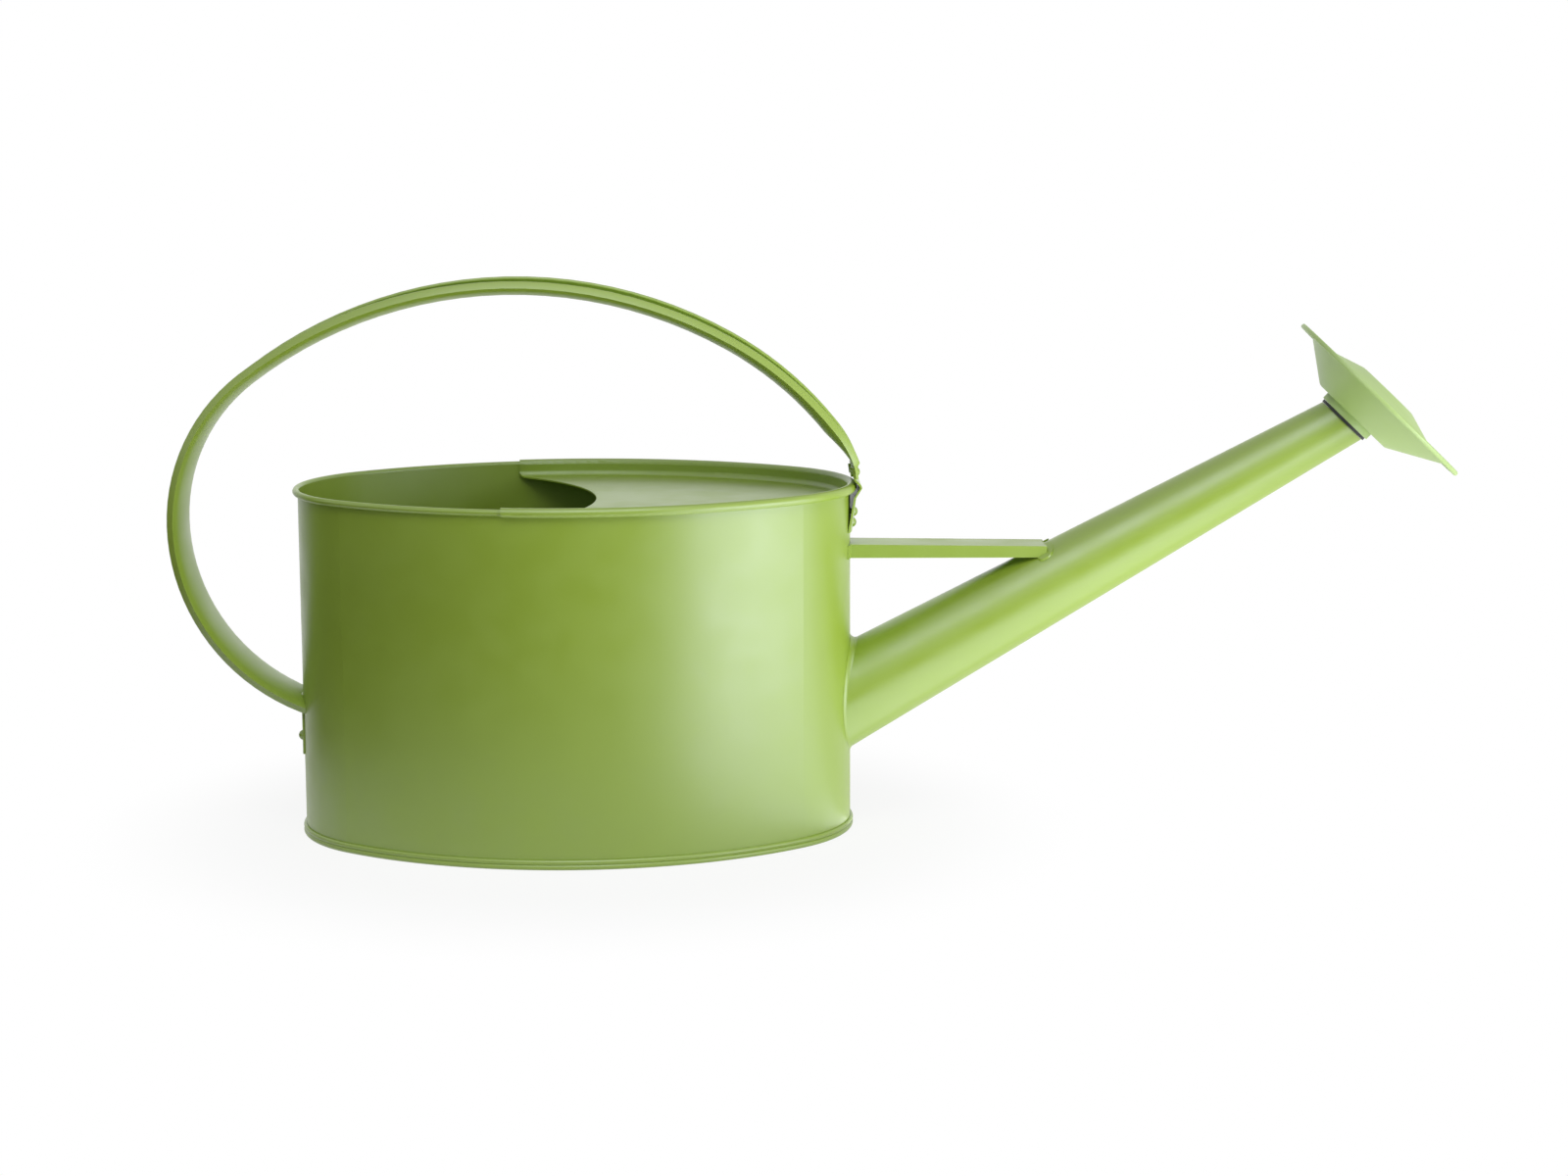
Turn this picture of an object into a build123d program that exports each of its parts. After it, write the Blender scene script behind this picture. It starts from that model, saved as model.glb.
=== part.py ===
from build123d import *
import math
import os

# An oval sheet-steel watering can with a fixed arched handle, a half cover and a push-in rose.
# Frame: origin on the floor under the middle of the tank, +X towards the spout, +Z up, millimetres.

# Sheet and fits
SHEET = 0.8  # tank, cover, spout, brace and rose
FOLD_GAP = 0.05  # play between folded or riveted layers
SEAT_GAP = 0.1  # play under and over the rubber ring

# Tank
BODY_LENGTH = 284.0
BODY_WIDTH = 190.6
BODY_END_RADIUS = 70.0  # tight arcs at the front and the rear of the oval
RIM_HEIGHT = 180.2
RIM_BEAD = 3.4  # diameter of the rolled rim
RIM_TUCK = 115.0  # degrees below level where the roll ends
BASE_RECESS = 6.0  # floor to the underside of the base panel
SEAM_HEIGHT = 5.0
SEAM_LIP = 1.5  # how far the two ridges of the bottom seam stand out from the wall
SEAM_EDGE = 0.75  # and its top and bottom edges
SEAM_VALLEY = 0.9  # and the groove between the ridges

# Half cover
COVER_START = -33.0  # X of the cover's rear end
COVER_DROP = 8.0  # rim top down to the cover plate
COVER_FOLD = 3.0  # bend between plate and skirt
COVER_CRESCENT = 44.0  # depth of the cut-out
HEM_WRAP = 50.0  # degrees below level where the hem ends

# Spout
SPOUT_HEIGHT = 69.0  # axis at the front of the wall
SPOUT_RISE = 28.9  # degrees above level
SPOUT_LENGTH = 291.5
SPOUT_ROOT = 49.0  # diameter at the wall
SPOUT_TIP = 26.6  # diameter at the tip
SOLDER = 3.0  # radius of the solder fillet at the root
SOCKET_DEPTH = 6.0

# Brace between wall and spout
BRACE_DROP = 31.2  # rim down to the brace's top at the wall
BRACE_FALL = 1.7  # and its fall from there to the spout
BRACE_HEIGHT = 7.0  # at the wall
BRACE_TIP_HEIGHT = 5.9  # at the spout
BRACE_WIDTH = 24.0
BRACE_EAR = 5.0
LAP_INNER = 4.0  # ears on the spout: nearest and farthest from its crest
LAP_OUTER = 14.0
LAP_BACK = 4.8  # and how far they reach back and ahead of the brace's end
LAP_AHEAD = 3.0
LAP_CORNER = 3.0

# Rose
ROSE_RISE = 46.4  # degrees above level of the rose's axis
ROSE_SWING = 3.7  # degrees that it leans towards -Y
ROSE_DIAMETER = 111.0
ROSE_DROP = 5.9  # face centre below the neck's axis
ROSE_DEPTH = 17.0  # flat back to face
ROSE_BACK = 46.4  # diameter of the flat back
ROSE_BACK_DROP = 2.0
ROSE_SHOULDER = 4.0
ROSE_DISH = 95.6  # diameter where the dish meets the flange
CRIMP_WIDTH = 4.0
CRIMP_INSIDE = 0.2  # inside radius of the folded edge
DOME_BASE = 67.4
DOME_TOP = 34.0
DOME_HEIGHT = 5.1
DOME_SHOULDER = 9.0
DOME_FOOT = 4.5
SPRAY_HOLE = 1.4
SPRAY_PITCH = 3.6
SPRAY_RINGS = 4
SEAL_DIAMETER = 29.0
SEAL_THICKNESS = 1.5
COLLAR_DIAMETER = 31.0
COLLAR_HEIGHT = 3.5
SPIGOT = 19.0
SPIGOT_LENGTH = 5.5
SPIGOT_PLAY = 0.3

# Handle strap
STRAP_WIDTH = 42.0
STRAP_SHEET = 0.9
STRAP_CURL = 6.5  # diameter of the rolled edges
CURL_END = 200.0  # degrees where the roll stops, seen along the strap
HANDLE_RISE = 105.5  # crown above the rim
HANDLE_TOP_X = -30.4
HANDLE_REACH = 65.0  # rearmost point behind the wall
HANDLE_BULGE = 18.2  # rearmost point below the rim
HANDLE_BEND = 97.0  # radius of the rear bend
CROWN_TURN = 29.4  # degrees that the crown runs on past its top
SHOULDER_BACK = 7.0  # front shoulder behind the front of the wall
SHOULDER_RISE = 31.0  # and above the rim
NOSE_BEND = 45.0  # radius of the bend below the shoulder
TONGUE_LEAN = 8.0  # degrees off upright of the straight front end
TONGUE_LENGTH = 5.8
TONGUE_WIDTH = 34.0
FRONT_TRIM = 15.0  # length over which the rolled edges taper off
REAR_TRIM = 8.0
REAR_SEAT = 65.5  # height where the strap meets the wall
TAB_BOTTOM = 42.0
TAB_WIDTH = 28.0
TAB_CORNER = 5.0

# Front bracket
BRACKET_SHEET = 1.0
BRACKET_WIDTH = 33.0
BRACKET_BEND = 1.6
BRACKET_CLEAR = 0.95  # from the hem to the inside of the kink
BRACKET_KINK = 0.9  # height of the upright part of the kink
BRACKET_WAIST = 2.2  # stand-off from the wall under the rim
BRACKET_WAIST_DROP = 5.0
BRACKET_DROP = 24.6  # rim down to the plate's lower edge

# Rivets
RIVET_HEAD = 5.2
RIVET_DOME = 1.9
RIVET_SHANK = 3.0
RIVET_PLAY = 0.1
RIVET_TAIL = 4.8
RIVET_TAIL_HEIGHT = 1.2
REAR_RIVET_HEIGHT = 51.0
REAR_RIVET_SPREAD = 8.0
WALL_RIVET_DROP = 21.2  # rim down to the lower of the two under the bracket's waist
WALL_RIVET_PITCH = 5.6
STRAP_RIVET_SPREAD = 8.5

# Sizes that follow from the driving ones
FRONT = BODY_LENGTH / 2
SIDE = BODY_WIDTH / 2
SIDE_RADIUS = (FRONT**2 + SIDE**2 - 2 * FRONT * BODY_END_RADIUS) / (2 * (SIDE - BODY_END_RADIUS))
END_CENTRE = FRONT - BODY_END_RADIUS
SIDE_CENTRE = SIDE_RADIUS - SIDE
END_SPREAD = math.degrees(math.atan2(SIDE_CENTRE, END_CENTRE))
BEAD_RADIUS = RIM_BEAD / 2
BEAD_OUT = BEAD_RADIUS - SHEET
BEAD_HEIGHT = RIM_HEIGHT - BEAD_RADIUS
HEM_INSIDE = BEAD_RADIUS + FOLD_GAP
HEM_OUTSIDE = HEM_INSIDE + SHEET
WALL_FOOT = SHEET + FOLD_GAP
FAR = 2 * (BODY_LENGTH + SPOUT_LENGTH)  # longer than the object, for cutting blocks

# The oval as four tangent arcs: centre X, centre Y, radius, start angle, sweep
OVAL_ARCS = [
    (END_CENTRE, 0, BODY_END_RADIUS, -END_SPREAD, 2 * END_SPREAD),
    (0, -SIDE_CENTRE, SIDE_RADIUS, END_SPREAD, 180 - 2 * END_SPREAD),
    (-END_CENTRE, 0, BODY_END_RADIUS, 180 - END_SPREAD, 2 * END_SPREAD),
    (0, SIDE_CENTRE, SIDE_RADIUS, 180 + END_SPREAD, 180 - 2 * END_SPREAD),
]


def polar(centre, radius, degrees):
    """Point at an angle on a circle."""
    turn = math.radians(degrees)
    return (centre[0] + radius * math.cos(turn), centre[1] + radius * math.sin(turn))


def oval_prism(offset, bottom, top):
    """Upright solid on the tank's oval, moved out by offset."""
    arcs = [CenterArc((x, y), radius + offset, start, sweep) for x, y, radius, start, sweep in OVAL_ARCS]
    return Pos(0, 0, bottom) * extrude(make_face(arcs), top - bottom)


def around_oval(section):
    """Carry a section, drawn as distance out from the wall and height, round the oval."""
    ring = Part()
    for x, y, radius, start, sweep in OVAL_ARCS:
        out_x = math.cos(math.radians(start))
        out_y = math.sin(math.radians(start))
        frame = Plane(origin=(x, y, 0), x_dir=(out_x, out_y, 0), z_dir=(out_y, -out_x, 0))
        ring += revolve(frame * Pos(radius, 0) * section, Axis((x, y, 0), (0, 0, 1)), sweep)
    return ring


def block(x0, x1, y0, y1, z0, z1):
    """Box between two corners."""
    return Pos(x0, y0, z0) * Box(x1 - x0, y1 - y0, z1 - z0, align=(Align.MIN, Align.MIN, Align.MIN))


# Spout and rose frames
RISE = math.radians(SPOUT_RISE)
TAPER = (SPOUT_ROOT - SPOUT_TIP) / (2 * SPOUT_LENGTH)
SPOUT_FRAME = Plane(
    origin=(FRONT, 0, SPOUT_HEIGHT), x_dir=(0, 1, 0), z_dir=(math.cos(RISE), 0, math.sin(RISE))
)
TILT = math.radians(ROSE_RISE)
SWING = math.radians(ROSE_SWING)
ROSE_FRAME = Plane(
    origin=(FRONT + SPOUT_LENGTH * math.cos(RISE), 0, SPOUT_HEIGHT + SPOUT_LENGTH * math.sin(RISE)),
    x_dir=(math.sin(TILT), 0, -math.cos(TILT)),
    z_dir=(math.cos(TILT) * math.cos(SWING), -math.sin(SWING), math.sin(TILT) * math.cos(SWING)),
)


def spout_radius(along):
    """Outer radius of the spout at a distance from the wall."""
    return SPOUT_ROOT / 2 - TAPER * along


def spout_cone(inset, start, end):
    """Solid cone on the spout's axis, smaller than its outside by inset."""
    cone = Cone(
        spout_radius(start) - inset,
        spout_radius(end) - inset,
        end - start,
        align=(Align.CENTER, Align.CENTER, Align.MIN),
    )
    return SPOUT_FRAME * Pos(0, 0, start) * cone


def tip_slab(bottom, top):
    """Everything between two heights along the rose's axis."""
    return ROSE_FRAME * Pos(0, 0, bottom) * Box(
        FAR, FAR, top - bottom, align=(Align.CENTER, Align.CENTER, Align.MIN)
    )


# Tank wall with its rolled rim
bead = (BEAD_OUT, BEAD_HEIGHT)
wall_section = make_face(
    [
        Line((-SHEET, WALL_FOOT), (-SHEET, BEAD_HEIGHT)),
        ThreePointArc((-SHEET, BEAD_HEIGHT), (BEAD_OUT, RIM_HEIGHT), polar(bead, BEAD_RADIUS, -RIM_TUCK)),
        Line(polar(bead, BEAD_RADIUS, -RIM_TUCK), polar(bead, BEAD_OUT, -RIM_TUCK)),
        ThreePointArc(polar(bead, BEAD_OUT, -RIM_TUCK), (BEAD_OUT, RIM_HEIGHT - SHEET), (0, BEAD_HEIGHT)),
        Line((0, BEAD_HEIGHT), (0, WALL_FOOT)),
        Line((0, WALL_FOOT), (-SHEET, WALL_FOOT)),
    ]
)
root_overrun = SPOUT_ROOT / 2
body_wall = around_oval(wall_section) - spout_cone(SHEET, -root_overrun, root_overrun * 2)
rim_wire = around_oval(Pos(*bead) * Circle(BEAD_OUT - FOLD_GAP))

# Base panel, folded round the foot of the wall with two ridges outside
inner_face = -2 * SHEET - FOLD_GAP
ridge_valley = (SEAM_VALLEY, SEAM_HEIGHT / 2)
seam_section = make_face(
    [
        Line((inner_face, BASE_RECESS + SHEET), (inner_face, 0)),
        Line((inner_face, 0), (SEAM_EDGE, 0)),
        ThreePointArc((SEAM_EDGE, 0), (SEAM_LIP, SEAM_HEIGHT / 4), ridge_valley),
        ThreePointArc(ridge_valley, (SEAM_LIP, SEAM_HEIGHT * 3 / 4), (SEAM_EDGE, SEAM_HEIGHT)),
        Line((SEAM_EDGE, SEAM_HEIGHT), (FOLD_GAP, SEAM_HEIGHT)),
        Line((FOLD_GAP, SEAM_HEIGHT), (FOLD_GAP, SHEET)),
        Line((FOLD_GAP, SHEET), (inner_face + SHEET, SHEET)),
        Line((inner_face + SHEET, SHEET), (inner_face + SHEET, BASE_RECESS + SHEET)),
        Line((inner_face + SHEET, BASE_RECESS + SHEET), (inner_face, BASE_RECESS + SHEET)),
    ]
)
base_pan = around_oval(seam_section) + oval_prism(inner_face + SHEET / 2, BASE_RECESS, BASE_RECESS + SHEET)

# Half cover: hem over the rim, skirt inside the wall, plate with a crescent cut out of its rear edge
cover_top = RIM_HEIGHT - COVER_DROP
skirt_in = BEAD_OUT - HEM_OUTSIDE
skirt_out = BEAD_OUT - HEM_INSIDE
bend = (skirt_in - COVER_FOLD, cover_top + COVER_FOLD)
hem_tip = polar(bead, HEM_OUTSIDE, -HEM_WRAP)
hem_inner_tip = polar(bead, HEM_INSIDE, -HEM_WRAP)
plate_edge = skirt_in - 2 * COVER_FOLD
cover_section = make_face(
    [
        ThreePointArc(hem_tip, polar(bead, HEM_OUTSIDE, 90), (skirt_in, BEAD_HEIGHT)),
        Line((skirt_in, BEAD_HEIGHT), (skirt_in, bend[1])),
        ThreePointArc((skirt_in, bend[1]), polar(bend, COVER_FOLD, -45), (bend[0], cover_top)),
        Line((bend[0], cover_top), (plate_edge, cover_top)),
        Line((plate_edge, cover_top), (plate_edge, cover_top - SHEET)),
        Line((plate_edge, cover_top - SHEET), (bend[0], cover_top - SHEET)),
        ThreePointArc(
            (bend[0], cover_top - SHEET), polar(bend, COVER_FOLD + SHEET, -45), (skirt_out, bend[1])
        ),
        Line((skirt_out, bend[1]), (skirt_out, BEAD_HEIGHT)),
        ThreePointArc((skirt_out, BEAD_HEIGHT), polar(bead, HEM_INSIDE, 90), hem_inner_tip),
        Line(hem_inner_tip, hem_tip),
    ]
)
horn = math.sqrt((SIDE_RADIUS + skirt_in) ** 2 - COVER_START**2) - SIDE_CENTRE
crescent_radius = (horn**2 + COVER_CRESCENT**2) / (2 * COVER_CRESCENT)
crescent = Pos(COVER_START + COVER_CRESCENT - crescent_radius, 0, cover_top) * Cylinder(
    crescent_radius, 4 * SHEET
)
cover_plate = oval_prism(plate_edge + COVER_FOLD / 2, cover_top - SHEET, cover_top)
half_cover = (
    around_oval(cover_section)
    + cover_plate
    - block(-FAR, COVER_START, -FAR, FAR, 0, FAR)
    - crescent
)

# Spout, trimmed to the wall at its root and square to the rose's axis at its tip
beyond_tip = SPOUT_TIP
spout_tube = (
    spout_cone(0, -root_overrun, SPOUT_LENGTH + beyond_tip)
    - spout_cone(SHEET, -root_overrun, SPOUT_LENGTH + beyond_tip)
    - oval_prism(0, 0, RIM_HEIGHT)
    - tip_slab(0, FAR)
)
front_end = Cylinder(BODY_END_RADIUS, RIM_HEIGHT, align=(Align.CENTER, Align.CENTER, Align.MIN))
root_core = Pos(END_CENTRE, 0, 0) * front_end + spout_cone(0, -root_overrun, root_overrun * 3)
root_edge = [edge for edge in root_core.edges() if edge.geom_type not in (GeomType.LINE, GeomType.CIRCLE)]
spout_solder = (
    fillet(root_edge, SOLDER)
    - oval_prism(FOLD_GAP, 0, RIM_HEIGHT)
    - spout_cone(-FOLD_GAP, -root_overrun, root_overrun * 3)
)
spigot_bore = SPIGOT / 2 + SPIGOT_PLAY
spout_socket = (spout_cone(SHEET + FOLD_GAP, 0, SPOUT_LENGTH + beyond_tip) & tip_slab(-SOCKET_DEPTH, 0)) - (
    ROSE_FRAME * Cylinder(spigot_bore, 4 * SOCKET_DEPTH)
)

# Brace: a channel open downwards, with ears on the wall, its far end coped to the spout and lapped on it
brace_top = RIM_HEIGHT - BRACE_DROP
brace_bottom = brace_top - BRACE_HEIGHT
brace_tip = brace_top - BRACE_FALL
crest = SPOUT_ROOT / 2 * math.cos(RISE)
crest_along = (brace_tip - SPOUT_HEIGHT - crest) / (math.sin(RISE) - TAPER * math.cos(RISE))
brace_end = FRONT + crest_along * math.cos(RISE) - spout_radius(crest_along) * math.sin(RISE)
brace_half = BRACE_WIDTH / 2


def upright_slab(outline, half_width):
    """Side outline carried both ways from the upright plane through the spout."""
    return extrude(Plane.XZ * make_face(outline), half_width, both=True)


channel_outside = Polyline(
    (END_CENTRE, brace_top),
    (FRONT, brace_top),
    (brace_end, brace_tip),
    (brace_end, brace_tip - BRACE_TIP_HEIGHT),
    (FRONT, brace_bottom),
    (END_CENTRE, brace_bottom),
    close=True,
)
channel_inside = Polyline(
    (END_CENTRE, brace_top - SHEET),
    (FRONT, brace_top - SHEET),
    (brace_end, brace_tip - SHEET),
    (brace_end, 0),
    (END_CENTRE, 0),
    close=True,
)
channel = upright_slab(channel_outside, brace_half) - upright_slab(channel_inside, brace_half - SHEET)
ear_band = oval_prism(FOLD_GAP + SHEET, brace_bottom, brace_top) - oval_prism(FOLD_GAP, 0, RIM_HEIGHT)
ear_half = brace_half + BRACE_EAR
ears = (ear_band & block(0, FAR, -ear_half, ear_half, 0, FAR)) - block(
    0, FAR, SHEET - brace_half, brace_half - SHEET, 0, FAR
)
lap_shell = spout_cone(-FOLD_GAP - SHEET, 0, SPOUT_LENGTH) - spout_cone(-FOLD_GAP, 0, SPOUT_LENGTH)
lap_shape = RectangleRounded(LAP_BACK + LAP_AHEAD, LAP_OUTER - LAP_INNER, LAP_CORNER)
lap_middle = brace_end + (LAP_AHEAD - LAP_BACK) / 2
laps = Part()
for side in (1, -1):
    spot = Pos(lap_middle, side * (LAP_INNER + LAP_OUTER) / 2, brace_bottom - LAP_OUTER)
    laps += lap_shell & (spot * extrude(lap_shape, 2 * LAP_OUTER))
spout_brace = (
    channel - oval_prism(FOLD_GAP, 0, RIM_HEIGHT) + ears - spout_cone(-FOLD_GAP, 0, SPOUT_LENGTH) + laps
)

# Handle path: outer face of the strap, in the upright plane through the spout
strap_radius = STRAP_CURL / 2
seat = (-FRONT - FOLD_GAP - STRAP_SHEET, REAR_SEAT)
rearmost = (-FRONT - HANDLE_REACH, RIM_HEIGHT - HANDLE_BULGE)
top = (HANDLE_TOP_X, RIM_HEIGHT + HANDLE_RISE)
span = top[0] - rearmost[0]
height = top[1] - rearmost[1]
crown_radius = (span**2 + height**2 - 2 * span * HANDLE_BEND) / (2 * (height - HANDLE_BEND))
crown = (top[0], top[1] - crown_radius)
bend_centre = (rearmost[0] + HANDLE_BEND, rearmost[1])
meet_angle = math.degrees(math.atan2(bend_centre[1] - crown[1], bend_centre[0] - crown[0]))
rear_meet = polar(bend_centre, HANDLE_BEND, meet_angle)
front_meet = polar(crown, crown_radius, 90 - CROWN_TURN)
shoulder = (FRONT - SHOULDER_BACK, RIM_HEIGHT + SHOULDER_RISE)

rear_arc = TangentArc(rearmost, seat, tangent=(0, -1))
run_in = rear_arc % 1
rear_stub = Line(seat, (seat[0] + run_in.X * 2 * STRAP_SHEET, seat[1] + run_in.Y * 2 * STRAP_SHEET))
bend_arc = TangentArc(rearmost, rear_meet, tangent=(0, 1))
crown_arc = ThreePointArc(rear_meet, top, front_meet)
front_arc = TangentArc(front_meet, shoulder, tangent=crown_arc % 1)
nose_heading = front_arc % 1
nose_turn = math.degrees(math.atan2(nose_heading.X, -nose_heading.Y)) - TONGUE_LEAN
nose_arc = JernArc(shoulder, nose_heading, NOSE_BEND, -nose_turn)
tongue_start = tuple(nose_arc @ 1)[:2]
tongue_run = nose_arc % 1
tongue_end = (
    tongue_start[0] + tongue_run.X * TONGUE_LENGTH,
    tongue_start[1] + tongue_run.Y * TONGUE_LENGTH,
)
tongue_line = Line(tongue_start, tongue_end)
strap_path = Plane.XZ * Wire([rear_stub, rear_arc, bend_arc, crown_arc, front_arc, nose_arc, tongue_line])


def curl_edges(side):
    """Half of the strap's section: web, rolled edge and back, with the web's outer face at height 0."""
    middle = (STRAP_WIDTH / 2 - strap_radius, strap_radius)
    bore = strap_radius - STRAP_SHEET
    halfway = (CURL_END - 90) / 2

    def at(point):
        return (side * point[0], point[1])

    return [
        Line((0, 0), at((middle[0], 0))),
        ThreePointArc(
            at((middle[0], 0)),
            at(polar(middle, strap_radius, halfway)),
            at(polar(middle, strap_radius, CURL_END)),
        ),
        Line(at(polar(middle, strap_radius, CURL_END)), at(polar(middle, bore, CURL_END))),
        ThreePointArc(
            at(polar(middle, bore, CURL_END)),
            at(polar(middle, bore, halfway)),
            at((middle[0], STRAP_SHEET)),
        ),
        Line(at((middle[0], STRAP_SHEET)), (0, STRAP_SHEET)),
    ]


strap_section = make_face(curl_edges(1) + curl_edges(-1))
path_start = strap_path @ 0
across = (0, -1, 0) if path_start.X < 0 else (0, 1, 0)
strap_start = Plane(origin=path_start, x_dir=across, z_dir=strap_path % 0)
rolled_strap = sweep(strap_start * strap_section, strap_path)


def step_from(point, *moves):
    """Point reached by moving given lengths along given directions."""
    x = point[0] + sum(length * direction.X for length, direction in moves)
    y = point[1] + sum(length * direction.Y for length, direction in moves)
    return (x, y)


def curl_trim(end, run, into, back_point, back_into):
    """Block that takes the rolled edges off an end on a slant and leaves the web."""
    deep = STRAP_CURL + STRAP_SHEET
    beyond = 2 * STRAP_CURL
    outline = Polyline(
        step_from(end, (STRAP_SHEET, into)),
        step_from((back_point.X, back_point.Y), (deep, back_into)),
        step_from(end, (beyond, run), (deep, into)),
        step_from(end, (beyond, run), (STRAP_SHEET, into)),
        close=True,
    )
    return upright_slab(outline, STRAP_WIDTH)


def side_trims(end, run, width, taper):
    """Two blocks that narrow an end of the strap to a tongue."""
    frame = Plane(origin=(end[0], 0, end[1]), x_dir=(run.X, 0, run.Y), z_dir=(run.Y, 0, -run.X))
    beyond = 2 * STRAP_CURL
    trims = Part()
    for side in (1, -1):
        outline = Polyline(
            (beyond, side * width / 2),
            (0, side * width / 2),
            (-taper, side * STRAP_WIDTH / 2),
            (-taper, side * STRAP_WIDTH),
            (beyond, side * STRAP_WIDTH),
            close=True,
        )
        trims += extrude(frame * make_face(outline), 2 * STRAP_CURL, both=True)
    return trims


# Ends of the strap: a flat tongue at the front, a tab bent down on the wall at the rear
front_in = Vector(tongue_run.Y, -tongue_run.X)
front_run = Wire([front_arc, nose_arc])
front_mark = front_run.length - FRONT_TRIM
front_heading = front_run.tangent_at(front_mark, position_mode=PositionMode.LENGTH)
front_trim = curl_trim(
    tongue_start,
    tongue_run,
    front_in,
    front_run.position_at(front_mark, position_mode=PositionMode.LENGTH),
    Vector(front_heading.Y, -front_heading.X),
)
rear_in = Vector(-run_in.Y, run_in.X)
rear_mark = rear_arc.length - REAR_TRIM
rear_heading = rear_arc.tangent_at(rear_mark, position_mode=PositionMode.LENGTH)
rear_trim = curl_trim(
    seat,
    run_in,
    rear_in,
    rear_arc.position_at(rear_mark, position_mode=PositionMode.LENGTH),
    Vector(-rear_heading.Y, rear_heading.X),
)
tab_height = REAR_SEAT - TAB_BOTTOM
tab_middle = TAB_BOTTOM + tab_height / 2
tab_outline = Plane.YZ * Pos(0, tab_middle) * RectangleRounded(TAB_WIDTH, tab_height, TAB_CORNER)
tab_square = block(-FAR, 0, -TAB_WIDTH / 2, TAB_WIDTH / 2, tab_middle, REAR_SEAT)
tab_band = oval_prism(FOLD_GAP + STRAP_SHEET, 0, RIM_HEIGHT) - oval_prism(FOLD_GAP, 0, RIM_HEIGHT)
rear_tab = tab_band & (extrude(tab_outline, -FAR) + tab_square)
handle_strap = (
    rolled_strap
    - front_trim
    - rear_trim
    - side_trims(tongue_start, tongue_run, TONGUE_WIDTH, FRONT_TRIM / 2)
    - side_trims(step_from(seat, (-STRAP_CURL / 2, run_in)), run_in, TAB_WIDTH, REAR_TRIM)
    - oval_prism(FOLD_GAP, 0, RIM_HEIGHT)
    + rear_tab
)

# Front bracket: flat leg under the tongue, kink over the hemmed rim, plate that takes the wall's curve
bracket_half = BRACKET_WIDTH / 2
leg_inset = STRAP_SHEET + FOLD_GAP + BRACKET_SHEET
bend_room = BRACKET_BEND / 2  # the leg starts to bend below the tongue's end
leg_foot = step_from(tongue_end, (leg_inset, front_in), (bend_room, tongue_run))
leg_top = step_from(tongue_start, (leg_inset, front_in))
kink = (FRONT + BEAD_OUT + HEM_OUTSIDE + BRACKET_CLEAR, BEAD_HEIGHT)
waist = (FRONT + BRACKET_WAIST, BEAD_HEIGHT - BRACKET_WAIST_DROP)
foot = (FRONT + FOLD_GAP, RIM_HEIGHT - BRACKET_DROP)
kink_top = (kink[0], kink[1] + BRACKET_KINK)
bracket_line = FilletPolyline(leg_top, leg_foot, kink_top, kink, radius=BRACKET_BEND)
wall_curve = BODY_END_RADIUS + FOLD_GAP
wall_sag = wall_curve - math.sqrt(wall_curve**2 - bracket_half**2)


def plate_slice(point, sag):
    """Level slice of the bracket's plate, whose edges lie back from its middle by sag."""
    inside = (point[0], 0)
    outside = (point[0] + BRACKET_SHEET, 0)
    corners = [(x - sag, y) for x in (inside[0], outside[0]) for y in (-bracket_half, bracket_half)]
    if sag:
        faces = [
            ThreePointArc(corners[0], inside, corners[1]),
            ThreePointArc(corners[2], outside, corners[3]),
        ]
    else:
        faces = [Line(corners[0], corners[1]), Line(corners[2], corners[3])]
    sides = [Line(corners[0], corners[2]), Line(corners[1], corners[3])]
    return Pos(0, 0, point[1]) * make_face(faces + sides)


upper_plate = loft([plate_slice(kink, 0), plate_slice(waist, wall_sag / 2)], ruled=True)
lower_plate = loft([plate_slice(waist, wall_sag / 2), plate_slice(foot, wall_sag)], ruled=True)
bracket_leg = upright_slab(offset(bracket_line, BRACKET_SHEET, side=Side.LEFT), bracket_half)
handle_front_bracket = bracket_leg + upper_plate + lower_plate


def rivet_at(frame, grip):
    """Dome-headed rivet whose head sits on the frame's plane, with its tail beyond the grip."""
    radius = RIVET_HEAD / 2
    ball = (radius**2 + RIVET_DOME**2) / (2 * RIVET_DOME)
    slope = math.asin(radius / ball) / 2
    section = make_face(
        [
            ThreePointArc(
                (radius, 0),
                (ball * math.sin(slope), ball * math.cos(slope) - ball + RIVET_DOME),
                (0, RIVET_DOME),
            ),
            Line((0, RIVET_DOME), (0, -grip - RIVET_TAIL_HEIGHT)),
            Line((0, -grip - RIVET_TAIL_HEIGHT), (RIVET_TAIL / 2, -grip - RIVET_TAIL_HEIGHT)),
            Line((RIVET_TAIL / 2, -grip - RIVET_TAIL_HEIGHT), (RIVET_TAIL / 2, -grip)),
            Line((RIVET_TAIL / 2, -grip), (RIVET_SHANK / 2, -grip)),
            Line((RIVET_SHANK / 2, -grip), (RIVET_SHANK / 2, 0)),
            Line((RIVET_SHANK / 2, 0), (radius, 0)),
        ]
    )
    return frame * revolve(Plane.XZ * section, Axis.Z, 360)


def rivet_hole(frame):
    """Clearance hole for a rivet's shank."""
    return frame * Cylinder(RIVET_SHANK / 2 + RIVET_PLAY, 4 * RIVET_HEAD)


# Rear rivets, square to the round end of the wall
rear_reach = BODY_END_RADIUS + FOLD_GAP + STRAP_SHEET
rear_turn = math.asin(REAR_RIVET_SPREAD / rear_reach)
rear_frames = []
for side in (1, -1):
    out = (-math.cos(rear_turn), side * math.sin(rear_turn), 0)
    at = (-END_CENTRE + rear_reach * out[0], rear_reach * out[1], REAR_RIVET_HEIGHT)
    rear_frames.append(Plane(origin=at, x_dir=(0, 0, 1), z_dir=out))

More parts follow.
